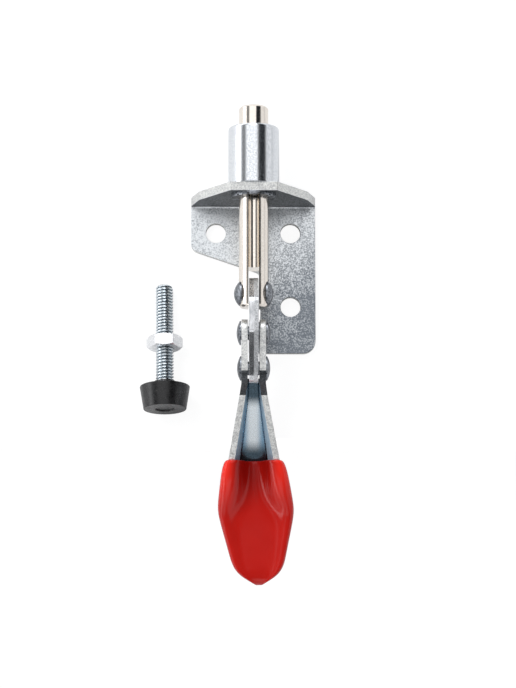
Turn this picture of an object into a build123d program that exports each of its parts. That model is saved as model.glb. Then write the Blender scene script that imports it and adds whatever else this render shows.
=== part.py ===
from build123d import *
import os
from math import atan, cos, degrees, radians, tan

# A push-pull toggle clamp in millimetres, with its plunger drawn in and its handle back.
# +Y runs to the plunger's nose, +X to the long side of the base, +Z up from its mounting face.
# The origin is on the base's bottom face, midway between the two front holes.

# Base: one folded sheet with a flange in front and an ear in the middle
SHEET = 2.0
BASE_WIDTH = 28.0
HOLE_PITCH = 16.8
HOLE_DIAMETER = 4.5
HOLE_TO_FLANGE = 6.1
HOLE_TO_REAR = 10.5
REAR_CORNER_RADIUS = 2.8
WING_LENGTH = 9.9
WING_SLOPE = 18.8
WING_CORNER_RADIUS = 2.0
NECK_RADIUS = 1.5
BEND_RADIUS = 0.4
EAR_BEND_RADIUS = 0.6
EAR_WIDTH = 7.1
EAR_TOP_RADIUS = 3.2
FLANGE_OVER_AXIS = 4.8
FLANGE_TOP_WIDTH = 10.2
KNEE_HEIGHT = 9.0
KNEE_WIDTH = 24.2
KNEE_RADIUS = 2.0

# Plunger, and the barrel that it slides in
AXIS_HEIGHT = 14.5
PLUNGER_DIAMETER = 6.5
PLUNGER_REACH = 4.7
PLUNGER_BACK = 3.05
PLUNGER_CHAMFER = 0.45
GROOVE_DEPTH = 1.4
GROOVE_LEAD = 1.9
NOSE_BORE_DIAMETER = 3.3
NOSE_BORE_DEPTH = 11.0
NOSE_COUNTERSINK = 0.35
SPOT_FACE_DIAMETER = 5.8
BARREL_DIAMETER = 11.2
BARREL_LENGTH = 12.95
BARREL_EDGE_RADIUS = 0.6
SPIGOT_DIAMETER = 8.4
COLLAR_DIAMETER = 9.8
COLLAR_HEIGHT = 0.8
STAKE_COUNT = 12
STAKE_WIDTH = 0.5
STAKE_DEPTH = 0.35

# Linkage: three pivots in line at the plunger's height when drawn in
PIVOT_FROM_REAR = 2.8
CRANK_LENGTH = 7.7
PIVOT_TO_PLUNGER = 8.6
LINK_THICKNESS = 2.0
LINK_NOSE_RADIUS = 3.5
LINK_TAIL_RADIUS = 3.2
HUMP_HEIGHT = 7.5
HUMP_RADIUS = 1.95
HUMP_LEAD = 3.0

# Rivets
RIVET_DIAMETER = 3.0
PLUNGER_HEAD_DIAMETER = 5.4
PLUNGER_HEAD_HEIGHT = 1.65
PLUNGER_HEAD_RIM = 0.4
PLUNGER_HEAD_SEAT = 2.65
HANDLE_HEAD_DIAMETER = 5.3
HANDLE_HEAD_HEIGHT = 0.95
HANDLE_HEAD_RIM = 0.25

# Handle: a folded channel that droops behind the linkage and ends in a spoon.
# Stations count back from the fixed pivot, and heights from the plunger's axis.
HANDLE_SHEET = 1.35
HANDLE_BEND_RADIUS = 0.5
HANDLE_EYE_RADIUS = 3.0
HANDLE_DROOP = 20.0
HANDLE_LEAN = 2.6
LEAN_STATION = 23.5
FLOOR_DROP = 7.9
SHOULDER_LAG = 3.3
FLOOR_LAG = 1.6
SHOULDER_TOP = 1.0
SHOULDER_LENGTH = 2.2
SHOULDER_LIP = -3.0
SHOULDER_WIDTH = 6.1
SHOULDER_FLARE = 0.3
MOUTH_STATION = 27.0
MOUTH_LIP = -6.2
MOUTH_WIDTH = 11.2
LOBE_STATION = 32.5
LOBE_LIP = -9.0
LOBE_WIDTH = 13.2
WALL_FLARE = 1.1
BROAD_STATION = 37.6
BROAD_WIDTH = 14.5
TONGUE_STATION = 48.2
TONGUE_WIDTH = 10.0
TONGUE_END = 51.6
TONGUE_END_WIDTH = 7.0
SPOON_FLARE = 0.8
SPOON_RIM = 1.2

# Grip: a dipped coat over the handle's rear half
COAT = 1.25
MOUTH_ROUNDING = 1.0
TIP_ROUNDING = 1.6
TIP_STATION = 54.1
TIP_WIDTH = 1.6
TIP_THICKNESS = 1.8

# Spindle with its lock nut and rubber tip, lying on its side next to the base
THREAD_DIAMETER = 3.9
SPINDLE_LENGTH = 23.4
SPINDLE_CHAMFER = 0.5
SPINDLE_X = -19.55
SPINDLE_Y = -35.3
SPINDLE_TURN = 1.0
SPINDLE_HEAD_DIAMETER = 6.4
SPINDLE_HEAD_HEIGHT = 1.2
NUT_FLATS = 7.0
NUT_THICKNESS = 2.7
NUT_FROM_RIM = 10.15
NUT_CHAMFER_ANGLE = 30.0
NUT_FACE_DIAMETER = 6.8
TIP_RIM_DIAMETER = 11.1
TIP_FACE_DIAMETER = 9.45
TIP_LENGTH = 5.1
TIP_SHOULDER = 0.75
TIP_BOSS_DIAMETER = 4.8
TIP_BOSS_HEIGHT = 0.5
TIP_RECESS_DIAMETER = 4.2
TIP_RECESS_DEPTH = 0.3
TIP_COVER = 1.3

# Clearances
PLUNGER_RUN = 0.05
RIVET_RUN = 0.05
THREAD_RUN = 0.05
EAR_SIDE_PLAY = 0.3
RIVET_HEAD_PLAY = 0.1
LINK_SIDE_PLAY = 0.15
LINK_NOSE_PLAY = 2.05
EAR_GAP = 0.4

# Places that follow from the sizes above
half_base = BASE_WIDTH / 2
flange_front = HOLE_TO_FLANGE + SHEET
barrel_front = flange_front + BARREL_LENGTH
base_rear = -HOLE_PITCH - HOLE_TO_REAR
handle_pivot = base_rear + PIVOT_FROM_REAR
link_pivot = handle_pivot - CRANK_LENGTH
plunger_pivot = handle_pivot + PIVOT_TO_PLUNGER
plunger_rear = plunger_pivot - PLUNGER_BACK
plunger_nose = barrel_front + PLUNGER_REACH
slot_front = plunger_pivot + LINK_NOSE_RADIUS + LINK_NOSE_PLAY
slot_width = LINK_THICKNESS + 2 * LINK_SIDE_PLAY
ear_edge = SHEET / 2 + EAR_BEND_RADIUS
cheek_gap = SHEET + 2 * EAR_SIDE_PLAY
cheek_width = cheek_gap + 2 * HANDLE_SHEET
shoulder_start = CRANK_LENGTH + SHOULDER_LAG
floor_start = CRANK_LENGTH + FLOOR_LAG
floor_slope = tan(radians(HANDLE_DROOP))
floor_wall = HANDLE_SHEET / cos(radians(HANDLE_DROOP))


def rod(diameter, y_from, y_to):
    """Round bar along the plunger's axis."""
    return Pos(0, (y_from + y_to) / 2, AXIS_HEIGHT) * Rot(90, 0, 0) * Cylinder(diameter / 2, y_to - y_from)


def cross_bar(diameter, x_from, x_to, y):
    """Round bar across the clamp at the plunger's height."""
    return Pos((x_from + x_to) / 2, y, AXIS_HEIGHT) * Rot(0, 90, 0) * Cylinder(diameter / 2, x_to - x_from)


def block(x_range, y_range, z_range):
    """Box between pairs of limits."""
    spans = [x_range, y_range, z_range]
    middle = Pos(*[(low + high) / 2 for low, high in spans])
    return middle * Box(*[high - low for low, high in spans])


def side_hull(circles, lines=()):
    """Face in the clamp's centre plane, drawn as along and up, wrapped round circles and lines."""
    edges = []
    for y, z, radius in circles:
        edges += (Pos(y, z) * Circle(radius)).edges()
    for start, end in lines:
        edges += Line(start, end).edges()
    return make_hull(edges)


def side_plate(face, thickness):
    """Plate standing on the centre plane."""
    return extrude(Plane.YZ * face, thickness / 2, both=True)


def fillet_along(part, place, radius):
    """Rounds the edge across the clamp that lies nearest to a place."""
    edge = part.edges().filter_by(Axis.X).sort_by_distance(place)[0]
    return fillet(edge, radius)


def round_corners(face, corners):
    """Rounds the corners of a flat face, each given as its place and radius."""
    for x, y, radius in corners:
        corner = face.vertices().sort_by_distance((x, y, 0))[0]
        face = fillet(corner, radius)
    return face


def turned(*profile):
    """Solid turned about Z from corners given as diameter and height."""
    corners = [(diameter / 2, height) for diameter, height in profile]
    return revolve(Plane.XZ * make_face(Polyline(*corners, close=True)), Axis.Z)


def domed_head(diameter, height, rim):
    """Rivet head standing on the XY plane, with a short straight rim under its dome."""
    rise = height - rim
    ball_radius = (diameter ** 2 / 4 + rise ** 2) / (2 * rise)
    blank = Pos(0, 0, height / 2) * Cylinder(diameter / 2, height)
    return blank & Pos(0, 0, height - ball_radius) * Sphere(ball_radius)


def rivet_heads(head, seat, y):
    """A head on each side of the clamp, its flat face at the seat."""
    right = Pos(seat, y, AXIS_HEIGHT) * Rot(0, 90, 0) * head
    left = Pos(-seat, y, AXIS_HEIGHT) * Rot(0, -90, 0) * head
    return right, left


def plate():
    """Flat of the base, with a short wing on the left and the long side on the right."""
    wing_end = flange_front - SHEET - WING_LENGTH
    neck = wing_end - (half_base + ear_edge) * tan(radians(WING_SLOPE))
    outline = make_face(Polyline(
        (-half_base, flange_front),
        (half_base, flange_front),
        (half_base, base_rear),
        (ear_edge, base_rear),
        (ear_edge, neck),
        (-half_base, wing_end),
        close=True,
    ))
    outline = round_corners(outline, [
        (half_base, base_rear, REAR_CORNER_RADIUS),
        (ear_edge, neck, NECK_RADIUS),
        (-half_base, wing_end, WING_CORNER_RADIUS),
    ])
    return extrude(outline, SHEET)


def flange():
    """Front flange. It leans in to a knee on each side and then slopes to a flat top."""
    bend_top = SHEET + BEND_RADIUS
    half_knee = KNEE_WIDTH / 2
    half_top = FLANGE_TOP_WIDTH / 2
    top = AXIS_HEIGHT + FLANGE_OVER_AXIS
    outline = make_face(Polyline(
        (-half_base, 0),
        (half_base, 0),
        (half_base, bend_top),
        (half_knee, KNEE_HEIGHT),
        (half_top, top),
        (-half_top, top),
        (-half_knee, KNEE_HEIGHT),
        (-half_base, bend_top),
        close=True,
    ))
    outline = round_corners(outline, [
        (half_knee, KNEE_HEIGHT, KNEE_RADIUS),
        (-half_knee, KNEE_HEIGHT, KNEE_RADIUS),
    ])
    return extrude(Plane.XZ.offset(-flange_front) * outline, SHEET)


def ear():
    """Middle ear that carries the fixed pivot, folded up from the plate's inner edge."""
    bend = SHEET + EAR_BEND_RADIUS
    ear_front = base_rear + EAR_WIDTH
    face = side_hull(
        [(handle_pivot, AXIS_HEIGHT, EAR_TOP_RADIUS)],
        [((ear_front, bend), (base_rear, bend))],
    )
    ring = Circle(bend) - Circle(EAR_BEND_RADIUS)
    quarter = ring & Pos(-bend / 2, -bend / 2) * Rectangle(bend, bend)
    fold = extrude(Plane.XZ.offset(-ear_front) * Pos(ear_edge, bend) * quarter, EAR_WIDTH)
    return side_plate(face, SHEET) + fold


def make_base_plate():
    base = plate() + flange()
    base = fillet_along(base, (0, flange_front, 0), SHEET + BEND_RADIUS)
    base = fillet_along(base, (0, flange_front - SHEET, SHEET), BEND_RADIUS)
    base += ear()
    half_pitch = HOLE_PITCH / 2
    for x, y in ((-half_pitch, 0), (half_pitch, 0), (half_pitch, -HOLE_PITCH)):
        base -= Pos(x, y, SHEET / 2) * Cylinder(HOLE_DIAMETER / 2, 2 * SHEET)
    base -= rod(SPIGOT_DIAMETER, flange_front - 2 * SHEET, flange_front + SHEET)
    return base - cross_bar(RIVET_DIAMETER, -SHEET, SHEET, handle_pivot)


def make_guide_barrel():
    """Barrel in front of the flange, its spigot staked over behind it in a toothed collar."""
    flange_rear = flange_front - SHEET
    collar_rear = flange_rear - COLLAR_HEIGHT
    barrel = rod(BARREL_DIAMETER, flange_front, barrel_front)
    barrel = fillet(barrel.edges().sort_by(Axis.Y)[-1], BARREL_EDGE_RADIUS)
    barrel += rod(SPIGOT_DIAMETER, flange_rear, flange_front)
    barrel += rod(COLLAR_DIAMETER, collar_rear, flange_rear)
    mark = block(
        (-STAKE_WIDTH / 2, STAKE_WIDTH / 2),
        (collar_rear - COLLAR_HEIGHT, collar_rear + STAKE_DEPTH),
        (PLUNGER_DIAMETER / 2, COLLAR_DIAMETER),
    )
    for index in range(STAKE_COUNT):
        turn = 360 / STAKE_COUNT * (index + 0.5)
        barrel -= Pos(0, 0, AXIS_HEIGHT) * Rot(0, turn, 0) * mark
    return barrel - rod(PLUNGER_DIAMETER + 2 * PLUNGER_RUN, collar_rear - SHEET, barrel_front + SHEET)


def make_plunger():
    """Plunger with a threaded nose, a groove along its top and a slot for the link."""
    plunger = rod(PLUNGER_DIAMETER, plunger_rear, plunger_nose)
    plunger = chamfer(plunger.edges().sort_by(Axis.Y)[-1], PLUNGER_CHAMFER)
    plunger = chamfer(plunger.edges().sort_by(Axis.Y)[0], PLUNGER_CHAMFER)
    slot = (-slot_width / 2, slot_width / 2)
    under = AXIS_HEIGHT - PLUNGER_DIAMETER
    over = AXIS_HEIGHT + PLUNGER_DIAMETER
    groove_floor = AXIS_HEIGHT + PLUNGER_DIAMETER / 2 - GROOVE_DEPTH
    groove_end = flange_front + GROOVE_LEAD
    plunger -= block(slot, (plunger_rear - SHEET, slot_front), (under, over))
    groove_middle = groove_floor + slot_width / 2
    plunger -= Pos(0, 0, groove_middle - AXIS_HEIGHT) * rod(slot_width, plunger_rear, groove_end)
    plunger -= block(slot, (plunger_rear, groove_end), (groove_middle, over))
    for side in (-1, 1):
        seat, far = sorted((side * PLUNGER_HEAD_SEAT, side * PLUNGER_DIAMETER))
        plunger -= cross_bar(SPOT_FACE_DIAMETER, seat, far, plunger_pivot)
    plunger -= cross_bar(RIVET_DIAMETER, -PLUNGER_DIAMETER, PLUNGER_DIAMETER, plunger_pivot)
    plunger -= rod(NOSE_BORE_DIAMETER, plunger_nose - NOSE_BORE_DEPTH, plunger_nose + SHEET)
    mouth = Pos(0, plunger_nose - NOSE_COUNTERSINK / 2, AXIS_HEIGHT) * Rot(-90, 0, 0)
    bore = NOSE_BORE_DIAMETER / 2
    return plunger - mouth * Cone(bore, bore + NOSE_COUNTERSINK, NOSE_COUNTERSINK)


def make_plunger_rivet():
    """Rivet in the plunger's two cheeks. Its middle is left out, where the linkage is opened."""
    head = domed_head(PLUNGER_HEAD_DIAMETER, PLUNGER_HEAD_HEIGHT, PLUNGER_HEAD_RIM)
    right, left = rivet_heads(head, PLUNGER_HEAD_SEAT, plunger_pivot)
    right += cross_bar(RIVET_DIAMETER, slot_width / 2, PLUNGER_HEAD_SEAT, plunger_pivot)
    left += cross_bar(RIVET_DIAMETER, -PLUNGER_HEAD_SEAT, -slot_width / 2, plunger_pivot)
    return Compound([right.solid(), left.solid()])


def make_handle_rivet(y, seat):
    """Rivet across the handle's cheeks, with a domed head on each side."""
    head = domed_head(HANDLE_HEAD_DIAMETER, HANDLE_HEAD_HEIGHT, HANDLE_HEAD_RIM)
    right, left = rivet_heads(head, seat, y)
    return cross_bar(RIVET_DIAMETER, -seat, seat, y) + right + left


def make_link():
    """Humped plate that arches over the ear and the fixed pivot."""
    hump = AXIS_HEIGHT + HUMP_HEIGHT - HUMP_RADIUS
    nose = (plunger_pivot, AXIS_HEIGHT, LINK_NOSE_RADIUS)
    front = (plunger_pivot - HUMP_LEAD, hump, HUMP_RADIUS)
    back = (handle_pivot, hump, HUMP_RADIUS)
    tail = (link_pivot, AXIS_HEIGHT, LINK_TAIL_RADIUS)
    face = side_hull([nose, front]) + side_hull([front, back]) + side_hull([back, tail])
    face -= Pos(handle_pivot, AXIS_HEIGHT) * Circle(EAR_TOP_RADIUS + EAR_GAP)
    for y in (plunger_pivot, link_pivot):
        face -= Pos(y, AXIS_HEIGHT) * Circle(RIVET_DIAMETER / 2 + RIVET_RUN)
    return side_plate(face, LINK_THICKNESS)


def channel_floor(station):
    """Height of the channel's inner floor, which clears the link's hump when the handle is over."""
    return -FLOOR_DROP - (station - 2 * CRANK_LENGTH) * floor_slope


def channel_rows():
    """Station, width over the walls, flare of each wall and height of its lip, from front to rear."""
    rows = [
        (floor_start, cheek_width, 0.0, SHOULDER_TOP),
        (shoulder_start, cheek_width, 0.0, SHOULDER_TOP),
        (shoulder_start + SHOULDER_LENGTH, SHOULDER_WIDTH, SHOULDER_FLARE, SHOULDER_LIP),
        (MOUTH_STATION, MOUTH_WIDTH, WALL_FLARE, MOUTH_LIP),
        (LOBE_STATION, LOBE_WIDTH, WALL_FLARE, LOBE_LIP),
    ]
    spoon = [(BROAD_STATION, BROAD_WIDTH), (TONGUE_STATION, TONGUE_WIDTH), (TONGUE_END, TONGUE_END_WIDTH)]
    return rows + [(at, width, SPOON_FLARE, channel_floor(at) + SPOON_RIM) for at, width in spoon]


def cross_section(station, half_widths, heights, radii):
    """Upright section across the handle, its top and bottom each with a half width and a corner radius."""
    top, bottom = heights
    half_top, half_bottom = half_widths
    face = make_face(Polyline(
        (-half_top, top), (-half_bottom, bottom), (half_bottom, bottom), (half_top, top), close=True,
    ))
    limit = min(top - bottom, 2 * half_bottom) * 0.45
    corners = [(half_top, top, radii[0]), (half_bottom, bottom, radii[1])]
    for x, z, radius in corners:
        if radius:
            rounding = min(radius, limit)
            face = round_corners(face, [(-x, z, rounding), (x, z, rounding)])
    lean = max(station - LEAN_STATION, 0) * tan(radians(HANDLE_LEAN))
    return Plane.XZ.offset(station - handle_pivot) * Pos(lean, AXIS_HEIGHT) * face


def envelope_section(station, width, flare, lip, coat=0.0):
    """Outside of the channel, or of the coat over it."""
    half = width / 2 + coat
    heights = (lip + coat, channel_floor(station) - floor_wall - coat)
    radii = (coat, HANDLE_BEND_RADIUS + HANDLE_SHEET + coat)
    return cross_section(station, (half, half - flare), heights, radii)


def hollow_section(station, width, flare, lip, coat=0.0):
    """Hollow of the channel, or of the coat over it, carried on past its lip."""
    floor = channel_floor(station) + coat
    half = width / 2 - HANDLE_SHEET - coat
    rate = flare / (lip + coat - floor)
    top = lip + coat + AXIS_HEIGHT
    half_widths = (half + rate * AXIS_HEIGHT, half - flare)
    return cross_section(station, half_widths, (top, floor), (0, HANDLE_BEND_RADIUS))


def channel():
    """Channel behind the cheeks, down to the end of its tongue."""
    rows = channel_rows()
    front = (rows[0][0] - HANDLE_SHEET, *rows[0][1:])
    rear = (rows[-1][0] + HANDLE_SHEET, *rows[-1][1:])
    body = loft([envelope_section(*row) for row in rows], ruled=True)
    return body - loft([hollow_section(*row) for row in [front, *rows, rear]], ruled=True)


def make_handle_channel():
    """Two cheeks on the pivots that run into a flared channel, which ends in a dished spoon."""
    ends = []
    for station in (floor_start, shoulder_start):
        foot = AXIS_HEIGHT + channel_floor(station) - floor_wall
        ends.append(((handle_pivot - station, AXIS_HEIGHT + SHOULDER_TOP), (handle_pivot - station, foot)))
    cheek = side_hull(
        [(handle_pivot, AXIS_HEIGHT, HANDLE_EYE_RADIUS), (link_pivot, AXIS_HEIGHT, HANDLE_EYE_RADIUS)],
        ends,
    )
    handle = side_plate(cheek, cheek_width) - side_plate(cheek, cheek_gap) + channel()
    handle -= cross_bar(RIVET_DIAMETER + 2 * RIVET_RUN, -cheek_width, cheek_width, handle_pivot)
    return handle - cross_bar(RIVET_DIAMETER, -cheek_width, cheek_width, link_pivot)


def make_handle_grip():
    """Dipped coat, thin at its rounded mouth and closed past the end of the tongue."""
    mouth, *rest = channel_rows()[3:]
    station, *shape = mouth
    rows = [(station, *shape, COAT - MOUTH_ROUNDING), (station + MOUTH_ROUNDING, *shape, COAT)]
    rows += [(*row, COAT) for row in rest]
    sections = [envelope_section(*row) for row in rows]
    tips = [
        (TIP_STATION - TIP_ROUNDING / 2, (TIP_WIDTH + TONGUE_END_WIDTH) / 4, TIP_THICKNESS),
        (TIP_STATION, TIP_WIDTH / 2, TIP_THICKNESS / 2),
    ]
    for at, half, reach in tips:
        middle = channel_floor(at)
        sections.append(cross_section(at, (half, half), (middle + reach, middle - reach), (COAT, 3 * COAT)))
    ahead = (station - COAT, *rows[0][1:])
    grip = loft(sections, ruled=True) - loft([hollow_section(*row) for row in [ahead, *rows]], ruled=True)
    return grip - channel()


def spindle_place():
    """The spindle lies on its tip's rim and the far end of its thread."""
    bearing = SPINDLE_LENGTH - SPINDLE_CHAMFER
    tilt = atan((TIP_RIM_DIAMETER - THREAD_DIAMETER) / 2 / bearing)
    height = TIP_RIM_DIAMETER / 2 * cos(tilt)
    lie = Rot(0, 0, SPINDLE_TURN) * Rot(-90 - degrees(tilt), 0, 0)
    return Pos(SPINDLE_X, SPINDLE_Y, height) * lie


def screw_blank():
    """Threaded screw at its outer diameter, with the flat head that is moulded into the tip."""
    head_face = TIP_COVER - TIP_LENGTH
    neck = head_face + SPINDLE_HEAD_HEIGHT
    return turned(
        (0, head_face),
        (SPINDLE_HEAD_DIAMETER, head_face),
        (SPINDLE_HEAD_DIAMETER, neck),
        (THREAD_DIAMETER, neck),
        (THREAD_DIAMETER, SPINDLE_LENGTH - SPINDLE_CHAMFER),
        (THREAD_DIAMETER - 2 * SPINDLE_CHAMFER, SPINDLE_LENGTH),
        (0, SPINDLE_LENGTH),
    )


def make_spindle_screw():
    return spindle_place() * screw_blank()


def make_lock_nut():
    """Hexagon nut with its corners turned off at both ends, one flat up."""
    corners = NUT_FLATS / cos(radians(30))
    drop = (corners - NUT_FACE_DIAMETER) / 2 * tan(radians(NUT_CHAMFER_ANGLE))
    half = NUT_THICKNESS / 2
    turned_blank = turned(
        (0, -half),
        (NUT_FACE_DIAMETER, -half),
        (corners, drop - half),
        (corners, half - drop),
        (NUT_FACE_DIAMETER, half),
        (0, half),
    )
    hexagon = extrude(RegularPolygon(corners / 2, 6), half, both=True)
    nut = (turned_blank & hexagon) - Cylinder(THREAD_DIAMETER / 2 + THREAD_RUN, 2 * NUT_THICKNESS)
    return spindle_place() * Pos(0, 0, NUT_FROM_RIM) * nut


def make_rubber_tip():
    """Tapered rubber tip, widest at its rim, moulded over the screw's head."""
    boss = TIP_SHOULDER + TIP_BOSS_HEIGHT
    tip = turned(
        (0, TIP_RECESS_DEPTH - TIP_LENGTH),
        (TIP_RECESS_DIAMETER, TIP_RECESS_DEPTH - TIP_LENGTH),
        (TIP_RECESS_DIAMETER, -TIP_LENGTH),
        (TIP_FACE_DIAMETER, -TIP_LENGTH),
        (TIP_RIM_DIAMETER, 0),
        (TIP_BOSS_DIAMETER, TIP_SHOULDER),
        (TIP_BOSS_DIAMETER, boss),
        (0, boss),
    )
    return spindle_place() * (tip - screw_blank())


os.makedirs("parts", exist_ok=True)
nodes = {
    "base_plate": make_base_plate(),
    "guide_barrel": make_guide_barrel(),
    "plunger": make_plunger(),
    "plunger_rivet": make_plunger_rivet(),
    "link": make_link(),
    "pivot_rivet": make_handle_rivet(handle_pivot, cheek_width / 2 + RIVET_HEAD_PLAY),
    "link_rivet": make_handle_rivet(link_pivot, cheek_width / 2),
    "handle_channel": make_handle_channel(),
    "handle_grip": make_handle_grip(),
    "spindle_screw": make_spindle_screw(),
    "lock_nut": make_lock_nut(),
    "rubber_tip": make_rubber_tip(),
}
for name, shape in nodes.items():
    export_step(shape, f"parts/{name}.step")
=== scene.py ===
from math import atan, cos, pi, radians, tan

import bpy
from mathutils import Matrix, Vector


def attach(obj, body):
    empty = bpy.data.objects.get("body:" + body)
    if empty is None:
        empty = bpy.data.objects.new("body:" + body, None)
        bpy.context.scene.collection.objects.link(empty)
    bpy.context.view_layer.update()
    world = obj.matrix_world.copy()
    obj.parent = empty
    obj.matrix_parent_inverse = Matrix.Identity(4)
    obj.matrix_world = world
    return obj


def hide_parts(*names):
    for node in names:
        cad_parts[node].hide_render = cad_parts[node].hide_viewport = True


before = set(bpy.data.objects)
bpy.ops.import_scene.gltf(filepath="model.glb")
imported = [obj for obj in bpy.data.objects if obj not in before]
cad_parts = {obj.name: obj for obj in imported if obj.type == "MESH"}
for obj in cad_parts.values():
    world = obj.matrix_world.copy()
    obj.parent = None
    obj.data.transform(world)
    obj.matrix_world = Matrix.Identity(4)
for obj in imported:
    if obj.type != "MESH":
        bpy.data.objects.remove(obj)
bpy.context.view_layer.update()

# A push-pull toggle clamp. Sizes are in millimetres and become metres where a mesh is made.
# +Y runs to the plunger's nose, +X to the long side of the base, +Z up from its mounting face.
MM = 0.001

# Places of the mechanism, as in the solids
AXIS_HEIGHT = 14.5
HANDLE_PIVOT = -24.5
CRANK_LENGTH = 7.7
LEAN_STATION = 23.5
LEAN = 2.6
SHEET = 2.0

# Lines along Y where pieces change: the collar behind the flange, and where the cheeks become the channel
COLLAR_FRONT = 6.0
CHANNEL_FRONT = -35.5

# Edges sharper than this many degrees are eased
SHARP_ANGLE = 32


def linear(code, alpha=1.0):
    """An sRGB hex colour as linear values."""
    parts = [int(code[at:at + 2], 16) / 255 for at in (1, 3, 5)]
    return (*[part / 12.92 if part <= 0.04045 else ((part + 0.055) / 1.055) ** 2.4 for part in parts], alpha)


# Materials


def add(tree, kind, sockets=None, **settings):
    """Adds a node. Each socket gets a value or another node's output."""
    made = tree.nodes.new("ShaderNode" + kind)
    for name, value in settings.items():
        setattr(made, name, value)
    for socket, value in (sockets or {}).items():
        if isinstance(value, bpy.types.NodeSocket):
            tree.links.new(value, made.inputs[socket])
        else:
            made.inputs[socket].default_value = value
    return made


def surface(name, **sockets):
    """A material and its tree, shader and object coordinates, with plain values on the shader itself."""
    material = bpy.data.materials.new(name)
    material.use_nodes = True
    tree = material.node_tree
    shader = tree.nodes["Principled BSDF"]
    for socket, value in sockets.items():
        shader.inputs[socket.replace("_", " ")].default_value = value
    return material, tree, shader, add(tree, "TexCoord").outputs["Object"]


def grain(tree, place, size, detail=2.0, stretch=(1, 1, 1)):
    """Noise whose features are about a size in millimetres across, from 0 to 1."""
    spread = add(tree, "Mapping", {"Vector": place, "Scale": stretch})
    noise = add(tree, "TexNoise", {
        "Vector": spread.outputs["Vector"], "Scale": 1 / (size * MM), "Detail": detail, "Roughness": 0.55,
    })
    return noise.outputs["Fac"]


def between(tree, factor, low, high, start=0.3, end=0.7):
    """A number that runs from low to high as a factor goes from start to end."""
    return add(tree, "MapRange", {
        "Value": factor, "From Min": start, "From Max": end, "To Min": low, "To Max": high,
    }, interpolation_type="SMOOTHSTEP").outputs["Result"]


def blend(tree, factor, first, second):
    """A colour between two colours, each a hex code or another node's output."""
    pair = [linear(colour) if isinstance(colour, str) else colour for colour in (first, second)]
    return add(tree, "Mix", {0: factor, 6: pair[0], 7: pair[1]}, data_type="RGBA").outputs[2]


def relief(tree, shader, height, depth):
    """Bump of a depth in millimetres."""
    bump = add(tree, "Bump", {"Height": height, "Distance": depth * MM, "Strength": 1.0})
    tree.links.new(bump.outputs["Normal"], shader.inputs["Normal"])


def zinc_sheet(name, dark, light, rough=(0.28, 0.46), depth=0.012, painted_shade_fall=0.0, metallic=1.0):
    """Sheet steel, bright zinc plated: it glitters in fine grains, and can carry a painted shade, darker
    towards its rear and right.
    """
    material, tree, shader, place = surface(name, Metallic=metallic)
    fine = grain(tree, place, 0.3, 3.0)
    patch = grain(tree, place, 4.0, 2.0)
    tone = between(tree, fine, 0.0, 0.8, 0.3, 0.7)
    cloud = between(tree, patch, -0.1, 0.2)
    parts = add(tree, "SeparateXYZ", {"Vector": place}).outputs
    slant = add(tree, "Math", {0: parts["Y"], 1: parts["X"]}, operation="SUBTRACT").outputs[0]
    # Painted shade: a gradient of light across the sheet, darker towards the rear and right, lighter towards
    # the front and left
    painted_fade = between(tree, slant, -painted_shade_fall, painted_shade_fall, -36 * MM, 4 * MM)
    shade = add(tree, "Math", {0: cloud, 1: painted_fade}, operation="ADD").outputs[0]
    mixed = add(tree, "Math", {0: tone, 1: shade}, operation="ADD", use_clamp=True).outputs[0]
    tree.links.new(blend(tree, mixed, dark, light), shader.inputs["Base Color"])
    tree.links.new(between(tree, fine, *rough, 0.7, 0.3), shader.inputs["Roughness"])
    relief(tree, shader, fine, depth)
    return material


def blued_channel(name):
    """Floor of the folded channel: a painted highlight whitens its middle, the film's own blue shows beside it,
    and a painted shade darkens both of its ends.
    """
    material, tree, shader, place = surface(name, Metallic=1.0)
    fine = grain(tree, place, 0.4, 3.0)
    parts = add(tree, "SeparateXYZ", {"Vector": place}).outputs
    across = add(tree, "Math", {0: parts["X"]}, operation="ABSOLUTE").outputs[0]
    side = between(tree, across, 0, 1, 0.5 * MM, 2.2 * MM)
    # Painted shade: darker at both ends of the floor, under the link at the front and before the grip's mouth
    # at the rear
    rear = between(tree, parts["Y"], 1, 0, -50 * MM, -46.6 * MM)
    front = between(tree, parts["Y"], 0, 1, -40.2 * MM, -37.4 * MM)
    both = add(tree, "Math", {0: rear, 1: front}, operation="MAXIMUM").outputs[0]
    # Painted highlight: the middle is whiter, with the film's own blue beside it
    plain = blend(tree, side, "#F2F8FB", "#86A9C2")
    shaded_ends = blend(tree, both, plain, "#46545D")
    tree.links.new(blend(tree, between(tree, fine, 0.25, 0), shaded_ends, "#5E7485"), shader.inputs["Base Color"])
    tree.links.new(between(tree, fine, 0.22, 0.32), shader.inputs["Roughness"])
    relief(tree, shader, fine, 0.002)
    return material


def sheared_edge(name):
    """Punched edge of the sheet: a smooth band where the punch rubbed and a torn, coarser one below it."""
    material, tree, shader, place = surface(name, Metallic=1.0)
    torn = grain(tree, place, 0.3, 4.0)
    rub = grain(tree, place, 0.8, 2.0)
    tree.links.new(blend(tree, between(tree, torn, 0, 1), "#BFC0C0", "#F0F0EC"), shader.inputs["Base Color"])
    tree.links.new(between(tree, rub, 0.3, 0.5), shader.inputs["Roughness"])
    relief(tree, shader, torn, 0.01)
    return material


def drawn_nickel(name):
    """Drawn bar, nickel plated: warm, almost a mirror, with faint lines along its length."""
    material, tree, shader, place = surface(name, Metallic=1.0)
    lines = grain(tree, place, 0.12, 2.0, (1, 0.02, 1))
    speck = grain(tree, place, 0.35, 3.0)
    tree.links.new(blend(tree, between(tree, speck, 0, 1), "#EFE6DB", "#F8F1E8"), shader.inputs["Base Color"])
    tree.links.new(between(tree, lines, 0.1, 0.2), shader.inputs["Roughness"])
    relief(tree, shader, lines, 0.004)
    return material


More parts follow.
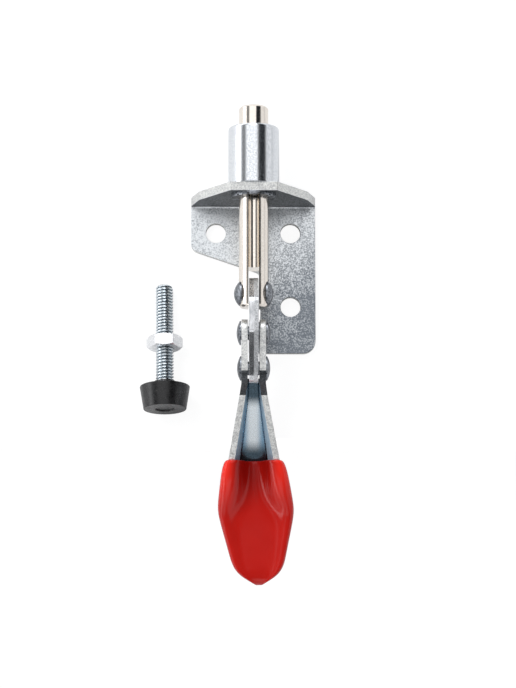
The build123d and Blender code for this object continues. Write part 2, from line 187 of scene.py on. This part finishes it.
def turned_zinc(name):
    """Turned steel, bright zinc plated: cleaner than the sheet, with a light frosting."""
    material, tree, shader, place = surface(name, Metallic=1.0)
    frost = grain(tree, place, 0.3, 3.0)
    rings = grain(tree, place, 0.15, 2.0, (0.05, 1, 0.05))
    tree.links.new(blend(tree, between(tree, frost, 0, 1), "#D6DADF", "#F2F4F6"), shader.inputs["Base Color"])
    tree.links.new(between(tree, frost, 0.14, 0.26, 0.7, 0.3), shader.inputs["Roughness"])
    both = add(tree, "Math", {0: frost, 1: rings}, operation="ADD").outputs[0]
    relief(tree, shader, both, 0.009)
    return material


def rivet_zinc(name):
    """Headed rivet wire, zinc plated and rubbed dull by the heading die."""
    material, tree, shader, place = surface(name, Metallic=1.0)
    rub = grain(tree, place, 0.5, 3.0)
    tree.links.new(blend(tree, between(tree, rub, 0, 1), "#63666B", "#A2A6AC"), shader.inputs["Base Color"])
    tree.links.new(between(tree, rub, 0.24, 0.42), shader.inputs["Roughness"])
    relief(tree, shader, rub, 0.01)
    return material


def blanked_link(name):
    """Thick link, blanked from plate: its edge is rubbed smooth on the left and torn on the right."""
    material, tree, shader, place = surface(name, Metallic=1.0)
    across = add(tree, "SeparateXYZ", {"Vector": place}).outputs["X"]
    side = between(tree, across, 0.0, 1.0, -0.1 * MM, 0.25 * MM)
    torn = grain(tree, place, 0.3, 4.0)
    rub = grain(tree, place, 1.1, 2.0, (1, 0.4, 0.4))
    smooth = blend(tree, between(tree, rub, 0, 1), "#BDBFC2", "#ECEDEF")
    rough = blend(tree, between(tree, torn, 0, 1), "#B8BABD", "#F4F5F6")
    tree.links.new(blend(tree, side, smooth, rough), shader.inputs["Base Color"])
    tree.links.new(between(tree, side, 0.26, 0.5, 0, 1), shader.inputs["Roughness"])
    height = add(tree, "Math", {0: torn, 1: side}, operation="MULTIPLY").outputs[0]
    relief(tree, shader, height, 0.03)
    return material


def bright_zinc(name, dark, light, rough):
    """Small machined parts, bright zinc plated: pale and even."""
    material, tree, shader, place = surface(name, Metallic=1.0)
    frost = grain(tree, place, 0.35, 3.0)
    tree.links.new(blend(tree, between(tree, frost, 0, 1), dark, light), shader.inputs["Base Color"])
    tree.links.new(between(tree, frost, *rough), shader.inputs["Roughness"])
    relief(tree, shader, frost, 0.003)
    return material


def dipped_vinyl(name):
    """Dipped vinyl: thick, glossy and slightly slumped, with a soft depth to its red. Towards the mouth, a
    painted highlight lightens the lobes and a painted shade darkens the hollow between them.
    """
    material, tree, shader, place = surface(
        name, Roughness=0.18, IOR=1.36, Subsurface_Weight=0.08, Subsurface_Scale=0.6 * MM,
    )
    shader.inputs["Subsurface Radius"].default_value = (1.0, 0.12, 0.06)
    slump = grain(tree, place, 9.0, 2.0)
    parts = add(tree, "SeparateXYZ", {"Vector": place}).outputs
    across = add(tree, "Math", {0: parts["X"]}, operation="ABSOLUTE").outputs[0]
    # Painted light: lighter lobes and a darker hollow between them, towards the grip's mouth
    lobe = between(tree, across, 0, 1, 3.2 * MM, 6.2 * MM)
    ahead = between(tree, parts["Y"], 0, 1, -64 * MM, -52 * MM)
    lit_lobes = add(tree, "Math", {0: lobe, 1: ahead}, operation="MULTIPLY").outputs[0]
    shaded_hollow = add(tree, "Math", {0: ahead, 1: lit_lobes}, operation="SUBTRACT").outputs[0]
    plain = blend(tree, between(tree, slump, 0, 1), "#C51B13", "#CB1D15")
    hollow_shade_red = blend(tree, shaded_hollow, plain, "#9C120C")
    tree.links.new(blend(tree, lit_lobes, hollow_shade_red, "#FF3022"), shader.inputs["Base Color"])
    relief(tree, shader, slump, 0.03)
    return material


def moulded_rubber(name):
    """Moulded rubber: near black with a waxy sheen, and a few specks of dust."""
    material, tree, shader, place = surface(name, IOR=1.52)
    skin = grain(tree, place, 0.5, 4.0)
    dust = between(tree, grain(tree, place, 0.28, 1.0), 0.0, 0.5, 0.7, 0.78)
    bloom = blend(tree, between(tree, grain(tree, place, 2.5, 3.0), 0, 1), "#0F0F10", "#1C1B1C")
    tree.links.new(blend(tree, dust, bloom, "#6A6664"), shader.inputs["Base Color"])
    tree.links.new(between(tree, skin, 0.24, 0.4), shader.inputs["Roughness"])
    relief(tree, shader, skin, 0.015)
    return material


# The base's sheet carries the painted shade gradient across it
sheet_zinc = zinc_sheet("zinc_plated_sheet", "#7E848B", "#EEF1F3", painted_shade_fall=0.45)
handle_zinc = zinc_sheet("zinc_plated_handle", "#90969C", "#E6E9EC")
blue_zinc = blued_channel("blue_zinc_channel")
# The blue passivated film in the folded channel is cloudy, so that it also scatters some light
wall_zinc = zinc_sheet("blue_zinc_walls", "#A9C9DD", "#D6E6F0", rough=(0.4, 0.55), depth=0.003, metallic=0.35)
torn_edge = sheared_edge("sheared_sheet_edge")
nickel = drawn_nickel("nickel_plated_bar")
barrel_zinc = turned_zinc("zinc_plated_turned")
rivet_metal = rivet_zinc("zinc_plated_rivet")
link_metal = blanked_link("blanked_link_plate")
nut_zinc = bright_zinc("bright_zinc_nut", "#F0F1F2", "#FAFAFB", (0.26, 0.34))
crest_zinc = bright_zinc("rolled_thread_crest", "#D6DEE3", "#F4F7F9", (0.2, 0.3))
# Painted shade: a darker copy of the thread's zinc for its roots, which lie in the shadow of the crests
root_shade_zinc = bright_zinc("painted_shade_thread_root", "#8E999F", "#B4BDC3", (0.3, 0.45))
# A darker copy of the sheet zinc: painted shade for faces that lie in shade or mirror dark surroundings
shaded_zinc = zinc_sheet("painted_shade_zinc", "#3C3F42", "#686B6E", rough=(0.35, 0.5))
red_vinyl = dipped_vinyl("dipped_red_vinyl")
black_rubber = moulded_rubber("moulded_black_rubber")

# Meshes


def deselect_all():
    """Leaves edit mode and selects nothing."""
    if bpy.context.object and bpy.context.object.mode != "OBJECT":
        bpy.ops.object.mode_set(mode="OBJECT")
    bpy.ops.object.select_all(action="DESELECT")


def take(piece):
    """Makes a piece the one that operators act on."""
    deselect_all()
    piece.select_set(True)
    bpy.context.view_layer.objects.active = piece


def finish_piece(piece, body, slot, *materials):
    """Gives a piece its materials and says what it rides on."""
    take(piece)
    bpy.ops.object.transform_apply(location=True, rotation=True, scale=True)
    piece.data.materials.clear()
    for material in materials:
        piece.data.materials.append(material)
    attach(piece, body)


def paint(node, material):
    """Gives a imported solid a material."""
    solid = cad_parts[node]
    for index in range(len(solid.material_slots)):
        solid.material_slots[index].material = material


def pick(piece, test):
    """Selects the vertices whose place in millimetres passes a test, in edit mode."""
    bpy.ops.object.mode_set(mode="OBJECT")
    for part in (piece.data.edges, piece.data.polygons):
        part.foreach_set("select", [False] * len(part))
    for vertex in piece.data.vertices:
        vertex.select = test(vertex.co / MM)
    bpy.ops.object.mode_set(mode="EDIT")


def near(first, second):
    """Whether two lengths in millimetres are the same."""
    return abs(first - second) < 0.001


def smooth(piece, levels):
    """Rounds a piece by subdivision."""
    take(piece)
    modifier = piece.modifiers.new("rounding", "SUBSURF")
    modifier.levels = levels
    modifier.render_levels = levels
    bpy.ops.object.modifier_apply(modifier=modifier.name)
    bpy.ops.object.shade_smooth()


def eased_copy(node, name, width):
    """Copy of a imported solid, its triangles joined into flats and its edges eased as tumbling leaves them."""
    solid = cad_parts[node]
    piece = bpy.data.objects.new(name, solid.data.copy())
    bpy.context.scene.collection.objects.link(piece)
    take(piece)
    bpy.ops.mesh.customdata_custom_splitnormals_clear()
    bpy.ops.object.mode_set(mode="EDIT")
    bpy.ops.mesh.select_all(action="SELECT")
    bpy.ops.mesh.remove_doubles(threshold=0.002 * MM)
    bpy.ops.mesh.dissolve_limited(angle_limit=radians(0.6))
    bpy.ops.object.mode_set(mode="OBJECT")
    modifier = piece.modifiers.new("easing", "BEVEL")
    modifier.width = width * MM
    modifier.segments = 2
    modifier.limit_method = "ANGLE"
    modifier.angle_limit = radians(SHARP_ANGLE)
    bpy.ops.object.modifier_apply(modifier=modifier.name)
    bpy.ops.object.shade_smooth_by_angle(angle=radians(SHARP_ANGLE))
    modifier = piece.modifiers.new("flat_faces", "WEIGHTED_NORMAL")
    modifier.keep_sharp = True
    bpy.ops.object.modifier_apply(modifier=modifier.name)
    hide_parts(node)
    return piece


# Grip: the dipped coat. Stations count back from the handle's pivot, and heights from the plunger's axis
# The coat is laid over and under the steel floor, whose thickness is measured upright
COAT = 1.25
FLOOR_THICKNESS = 1.44
FLOOR_DROP = 7.9
DROOP = 20
GRIP_ROWS = (
    # station, half width, inner edge of the lobe as a share of it, rise of the lobe over the hollow
    (27.0, 6.1, 0.42, 5.6),
    (27.5, 6.6, 0.42, 5.9),
    (29.0, 7.15, 0.42, 5.6),
    (31.0, 7.55, 0.42, 5.2),
    (33.5, 7.95, 0.44, 4.3),
    (36.0, 8.35, 0.53, 3.0),
    (38.0, 8.5, 0.68, 1.8),
    (40.5, 8.05, 0.74, 1.2),
    (44.0, 7.2, 0.74, 1.0),
    (47.5, 6.4, 0.74, 0.9),
    (50.3, 5.7, 0.72, 0.8),
    (52.3, 4.1, 0.7, 0.6),
    (53.7, 1.7, 0.7, 0.3),
    (54.3, 0.7, 0.7, 0.1),
)
COLUMNS = (1.0, 0.75, 0.5, 0.25, 0.0)


def floor_height(station):
    """Top of the channel's steel floor, below the plunger's axis."""
    return -FLOOR_DROP - (station - 2 * CRANK_LENGTH) * tan(radians(DROOP))


def make_grip():
    """The coat is shaped row by row from a flat block, then rounded by subdivision."""
    rows = len(GRIP_ROWS)
    deselect_all()
    bpy.ops.mesh.primitive_grid_add(x_subdivisions=8, y_subdivisions=rows - 1, size=2 * MM)
    grip = bpy.context.object
    grip.name = "dipped_grip"
    bpy.ops.object.mode_set(mode="EDIT")
    for _ in range(2):
        bpy.ops.mesh.extrude_region_move(TRANSFORM_OT_translate={"value": (0, 0, MM)})
    bpy.ops.mesh.select_all(action="SELECT")
    bpy.ops.mesh.normals_make_consistent(inside=False)
    for index, (station, half, inner, rise) in enumerate(GRIP_ROWS):
        start = 1 - 2 * index / (rows - 1)
        lean = (station - LEAN_STATION) * tan(radians(LEAN))
        hollow = floor_height(station) + COAT
        foot = floor_height(station) - FLOOR_THICKNESS - COAT
        slim = (1.0, 0.8, 0.35)[max(0, index - rows + 3)]
        tops = (
            (half, hollow + rise - 0.5),
            (half * (inner + (1 - inner) * 0.62), hollow + rise),
            (half * inner, hollow + rise - 0.3),
            (half * inner * 0.74, hollow + 0.12 * rise),
            (0, hollow),
        )
        middles = [(across * 1.02, (height + foot) / 2) for across, height in tops]
        feet = (
            (half - 1.5 * slim, foot + 0.7),
            (half * 0.72, foot),
            (half * 0.48, foot),
            (half * 0.24, foot),
            (0, foot),
        )
        for level, places in enumerate((feet, middles, tops)):
            for column, (across, height) in zip(COLUMNS, places):
                middle = (hollow + foot) / 2
                height = middle + (height - middle) * slim
                pick(grip, lambda at: near(at.y, start) and near(abs(at.x), column) and near(at.z, level))
                shift = Vector((lean, -station - start, height - level)) * MM
                widen = across / column if column else 1
                bpy.ops.transform.resize(value=(widen, 1, 1), center_override=(0, 0, 0))
                bpy.ops.transform.translate(value=shift)
    bpy.ops.mesh.select_all(action="SELECT")
    bpy.ops.transform.translate(value=Vector((0, HANDLE_PIVOT, AXIS_HEIGHT)) * MM)
    smooth(grip, 3)
    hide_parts("handle_grip")
    finish_piece(grip, "handle", "red_vinyl", red_vinyl)


make_grip()

# Spindle: lies on its tip's rim and the far end of its thread
RIM = Vector((-19.55, -35.3, 0))
TIP_RADIUS = 5.55
THREAD_RADIUS = 1.98
WAIST_RADIUS = 1.72
ROOT_RADIUS = 1.5
PITCH = 0.7
SPINDLE_REACH = 23.4
TURN = 1.0
END_RADIUS = 1.95
END_CHAMFER = 0.5
TILT = atan((TIP_RADIUS - END_RADIUS) / (SPINDLE_REACH - END_CHAMFER))
THREAD_START = -4.4
THREAD_TURNS = 41
BLANK_START = -3.6
BLANK_RADIUS = 2.05


def lay_on_bench(piece):
    """Moves a piece from its own upright axis to where the spindle lies."""
    take(piece)
    bpy.ops.object.transform_apply(location=True, rotation=True, scale=True)
    piece.rotation_euler = (-pi / 2 - TILT, 0, radians(TURN))
    piece.location = (RIM + Vector((0, 0, TIP_RADIUS * cos(TILT)))) * MM
    bpy.ops.object.transform_apply(location=True, rotation=True, scale=True)


def make_thread():
    """One turn of the thread's profile is wound up the screw, and a turned blank trims its ends."""
    deselect_all()
    bpy.ops.mesh.primitive_plane_add(size=1)
    thread = bpy.context.object
    thread.name = "spindle_thread"
    profile = (
        (ROOT_RADIUS, 0.0), (ROOT_RADIUS, 0.12), (WAIST_RADIUS, 0.2), (THREAD_RADIUS, 0.34),
        (THREAD_RADIUS, 0.48), (WAIST_RADIUS, 0.62), (ROOT_RADIUS, PITCH),
    )
    mesh = bpy.data.meshes.new("spindle_thread")
    mesh.from_pydata([Vector((radius, 0, THREAD_START + height)) * MM for radius, height in profile],
                     [(index, index + 1) for index in range(len(profile) - 1)], [])
    thread.data = mesh
    modifier = thread.modifiers.new("winding", "SCREW")
    modifier.screw_offset = PITCH * MM
    modifier.iterations = THREAD_TURNS
    modifier.steps = 40
    modifier.render_steps = 40
    modifier.use_merge_vertices = True
    modifier.merge_threshold = 0.001 * MM
    bpy.ops.object.modifier_apply(modifier=modifier.name)
    bpy.ops.object.mode_set(mode="EDIT")
    bpy.ops.mesh.select_all(action="SELECT")
    bpy.ops.mesh.remove_doubles(threshold=0.001 * MM)
    bpy.ops.mesh.fill_holes(sides=0)
    bpy.ops.mesh.select_all(action="SELECT")
    bpy.ops.mesh.normals_make_consistent(inside=False)
    bpy.ops.object.mode_set(mode="OBJECT")
    deselect_all()
    low, high = BLANK_START, SPINDLE_REACH
    bpy.ops.mesh.primitive_cylinder_add(
        vertices=64, radius=BLANK_RADIUS * MM, depth=(high - low) * MM,
        location=(0, 0, (low + high) / 2 * MM))
    blank = bpy.context.object
    bpy.ops.object.transform_apply(location=True, rotation=True, scale=True)
    bpy.ops.object.mode_set(mode="EDIT")
    bpy.ops.mesh.select_mode(type="EDGE")
    bpy.ops.mesh.select_all(action="DESELECT")
    bpy.ops.object.mode_set(mode="OBJECT")
    for edge in blank.data.edges:
        edge.select = all(near(blank.data.vertices[at].co.z / MM, high) for at in edge.vertices)
    bpy.ops.object.mode_set(mode="EDIT")
    bpy.ops.mesh.bevel(offset=0.55 * MM, segments=1)
    bpy.ops.mesh.select_mode(type="VERT")
    bpy.ops.object.mode_set(mode="OBJECT")
    take(thread)
    trim = thread.modifiers.new("trim", "BOOLEAN")
    trim.operation = "INTERSECT"
    trim.solver = "EXACT"
    trim.object = blank
    bpy.ops.object.modifier_apply(modifier=trim.name)
    bpy.data.objects.remove(blank)
    bpy.ops.object.shade_smooth_by_angle(angle=radians(30))
    # Painted shade goes on the root faces, nearest the axis
    shaded_roots = [face.index for face in thread.data.polygons if face.center.to_2d().length < 1.65 * MM]
    lay_on_bench(thread)
    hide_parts("spindle_screw")
    finish_piece(thread, "base", "zinc_screw", crest_zinc, root_shade_zinc)
    for index in shaded_roots:
        thread.data.polygons[index].material_index = 1


make_thread()

# The camera looks down from above and a little behind
camera_data = bpy.data.cameras.new("photo_camera")
camera = bpy.data.objects.new("photo_camera", camera_data)
bpy.context.scene.collection.objects.link(camera)
aim = Vector((1.117, -24.962, 0)) * MM
camera.location = Vector((-3.6, -77.17, 396.6)) * MM
back = (camera.location - aim).normalized()
right = Vector((0, 1, 0)).cross(back).normalized()
camera.rotation_euler = Matrix((right, back.cross(right), back)).transposed().to_euler()
camera_data.sensor_width = 36
camera_data.lens = 93.0
camera_data.clip_start = 0.01
bpy.context.scene.camera = camera
bpy.context.scene.view_settings.view_transform = "Standard"


def edge_faces(piece, slot, test):
    """Moves faces to a material slot, by a test on their place in millimetres and their normal."""
    for face in piece.data.polygons:
        if test(face.center / MM, face.normal):
            face.material_index = slot


def make_base():
    """The cut edges show bare, torn metal, and the flange's rear gets a painted shade."""
    base = eased_copy("base_plate", "folded_base", 0.3)
    finish_piece(base, "base", "zinc_sheet", sheet_zinc, torn_edge, shaded_zinc)
    edge_faces(base, 1, lambda at, out: at.z < SHEET and at.y < 4 and abs(out.z) < 0.3)
    edge_faces(base, 1, lambda at, out: at.z > 3.2 and at.y > 6 and abs(out.y) < 0.3)
    edge_faces(base, 1, lambda at, out: at.z > 2.7 and at.y < -20 and abs(out.x) < 0.3)
    # Painted shade on the flange's rear face
    edge_faces(base, 2, lambda at, out: at.z > 2.2 and at.y > 5.5 and out.y < -0.6)


# Material slots of the channel, and where its steep shoulder lips and its rims lie
EDGE_FACE, FLOOR_FACE, SHOULDER_FACE, WALL_FACE = 1, 2, 3, 4
SHOULDER_REAR = -38.2
SHOULDER_FRONT = -32.2
RIM_RISE = 1.6


def make_channel():
    """Its rims are cut edges, its inside is blue and its steep shoulder lips get a painted shade."""
    channel = eased_copy("handle_channel", "folded_channel", 0.15)
    finish_piece(channel, "handle", "zinc_sheet", handle_zinc, torn_edge, blue_zinc, shaded_zinc, wall_zinc)

    def rise(at):
        return at.z - AXIS_HEIGHT - floor_height(HANDLE_PIVOT - at.y)

    edge_faces(channel, EDGE_FACE, lambda at, out: at.y > CHANNEL_FRONT and abs(out.x) < 0.3)
    edge_faces(channel, EDGE_FACE, lambda at, out: (
        at.y <= CHANNEL_FRONT and out.z > 0.45 and rise(at) > RIM_RISE))
    edge_faces(channel, WALL_FACE, lambda at, out: (
        at.y < CHANNEL_FRONT and rise(at) > -0.3 and out.x * (at.x - 0.2) < -0.1))
    edge_faces(channel, FLOOR_FACE, lambda at, out: at.y < -33.5 and rise(at) < 1.0 and out.z > 0.5)
    # Painted shade on the steep shoulder lips, which lean away from the light
    edge_faces(channel, SHOULDER_FACE, lambda at, out: (
        SHOULDER_REAR < at.y < SHOULDER_FRONT and rise(at) > RIM_RISE and out.y < -0.2 and out.z > 0))


def make_barrel():
    """Its staked collar behind the flange gets a painted shade, darker than what was turned."""
    barrel = eased_copy("guide_barrel", "turned_barrel", 0.12)
    finish_piece(barrel, "base", "zinc_barrel", barrel_zinc, shaded_zinc, rivet_metal)
    # Painted shade: the collar's side takes the darker rivet zinc, and its rear face the shaded zinc
    edge_faces(barrel, 2, lambda at, out: at.y < COLLAR_FRONT)
    edge_faces(barrel, 1, lambda at, out: at.y < COLLAR_FRONT and out.y < -0.6)


def make_small_pieces():
    """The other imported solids, with eased edges where their real edges are broken."""
    for node, name, ease, body, slot, material in (
        ("plunger", "slotted_plunger", 0.08, "plunger", "nickel_bar", nickel),
        ("link", "humped_link", 0.12, "link", "blanked_steel", link_metal),
        ("lock_nut", "hexagon_nut", 0.1, "lock_nut", "zinc_screw", nut_zinc),
        ("rubber_tip", "tapered_tip", 0.13, "base", "black_rubber", black_rubber),
    ):
        finish_piece(eased_copy(node, name, ease), body, slot, material)
    for node in ("plunger_rivet", "pivot_rivet", "link_rivet"):
        paint(node, rivet_metal)


make_base()
make_barrel()
make_channel()
make_small_pieces()

# Stage: a white block that the base and the loose spindle lie on, and a floor below the drooping grip


def pale_stage(name, keep):
    """Pale card. The camera sees it near white, with a share of the object's shadow kept."""
    material, tree, shader, _ = surface(name, Base_Color=linear("#F2F2F2"), Roughness=0.9)
    output = tree.nodes["Material Output"]
    seen = add(tree, "LightPath").outputs["Is Camera Ray"]
    up = add(tree, "SeparateXYZ", {"Vector": add(tree, "NewGeometry").outputs["Normal"]}).outputs["Z"]
    part = between(tree, up, 1.0, 1 - keep, 0.5, 0.9)
    share = add(tree, "Math", {0: seen, 1: part}, operation="MULTIPLY").outputs[0]
    strength = (1.02 - 0.6 * keep) / (1 - keep)
    white = add(tree, "Emission", {"Color": (1, 1, 1, 1), "Strength": strength}).outputs[0]
    both = add(tree, "MixShader", {0: share, 1: shader.outputs[0], 2: white}).outputs[0]
    tree.links.new(both, output.inputs["Surface"])
    return material


def stage_block(name, x_range, y_range, z_range, material):
    """Block of the stage between ranges in millimetres."""
    deselect_all()
    spans = [x_range, y_range, z_range]
    middle = [(low + high) / 2 * MM for low, high in spans]
    bpy.ops.mesh.primitive_cube_add(size=1, location=middle)
    block = bpy.context.object
    block.name = name
    block.scale = [(high - low) * MM for low, high in spans]
    bpy.ops.object.transform_apply(location=True, rotation=True, scale=True)
    block.data.materials.append(material)


bench_card = pale_stage("white_card", 0.2)
floor_card = pale_stage("white_floor", 0.1)
stage_block("bench", (-400, 400), (-46.3, 400), (-30, 0), bench_card)
stage_block("floor", (-900, 900), (-900, 900), (-34, -30), floor_card)

# Light: a bright tent with darker bands, as polished metal mirrors it, an even fill for dull surfaces,
# and one large soft lamp that isn't mirrored
world = bpy.data.worlds.new("studio")
bpy.context.scene.world = world
world.use_nodes = True
sky = world.node_tree
sky.nodes.clear()
path = add(sky, "LightPath").outputs
way = add(sky, "TexCoord").outputs["Generated"]
turn = add(sky, "SeparateXYZ", {"Vector": way}).outputs


def band(ahead, start, end, soft):
    """One between two angles from straight up towards an axis, in degrees."""
    angle = add(sky, "Math", {0: turn[ahead], 1: turn["Z"]}, operation="ARCTAN2").outputs[0]
    rise = between(sky, angle, 0, 1, radians(start - soft), radians(start + soft))
    fall = between(sky, angle, 1, 0, radians(end - soft), radians(end + soft))
    return add(sky, "Math", {0: rise, 1: fall}, operation="MULTIPLY").outputs[0]


def join(operation, first, second):
    """Two numbers put together."""
    return add(sky, "Math", {0: first, 1: second}, operation=operation).outputs[0]


# Dark bands: the tent's opening and wall on the right, its seam on the left, a hood behind, the camera's
# own gap above, and a skirt at the horizon
opening = band("X", 18, 57, 3)
seam = join("MULTIPLY", band("X", -58, -36, 3), 0.85)
hood = join("MULTIPLY", band("Y", -64, -36.8, 1.5), band("X", -30, 30, 8))
lens = join("MULTIPLY", band("Y", -18, 5, 2), 0.45)
skirt = between(sky, join("ABSOLUTE", turn["Z"], 0), 0.8, 0, 0.03, 0.12)
wall = join("MULTIPLY", band("X", 57, 90, 3), 0.3)
gaps = join("MAXIMUM", join("MAXIMUM", opening, seam), join("MAXIMUM", lens, wall))
dark = join("MAXIMUM", gaps, join("MAXIMUM", hood, join("MULTIPLY", skirt, 0.6)))
tent = blend(sky, dark, "#FCFDFF", "#1A1C20")
seen_white = add(sky, "Background", {"Color": (1, 1, 1, 1), "Strength": 1.0}).outputs[0]
# Brighter places: a strip low on the left and a spot in front
strip = join("MULTIPLY", band("X", -86, -66, 3), 2.2)
spot = join("MULTIPLY", join("MULTIPLY", band("Y", 52, 68, 3), band("X", -24, 16, 3)), 6)
mirrored = add(sky, "Background", {
    "Color": tent, "Strength": join("ADD", join("MAXIMUM", strip, spot), 1.25),
}).outputs[0]
fill = add(sky, "Background", {"Color": linear("#EDEFF2"), "Strength": 0.68}).outputs[0]
glossy = add(sky, "MixShader", {0: path["Is Glossy Ray"], 1: fill, 2: mirrored}).outputs[0]
shown = add(sky, "MixShader", {0: path["Is Camera Ray"], 1: glossy, 2: seen_white}).outputs[0]
add(sky, "OutputWorld", {"Surface": shown})


def soft_lamp(name, place, size, watts):
    """Square lamp that faces the clamp."""
    lamp = bpy.data.lights.new(name, "AREA")
    lamp.shape = "SQUARE"
    lamp.size = size * MM
    lamp.energy = watts
    made = bpy.data.objects.new(name, lamp)
    bpy.context.scene.collection.objects.link(made)
    made.location = Vector(place) * MM
    made.rotation_euler = (Vector((0, -20 * MM, 0)) - made.location).to_track_quat("-Z", "Y").to_euler()
    made.visible_glossy = False


soft_lamp("key_lamp", (-260, 180, 420), 260, 1.6)
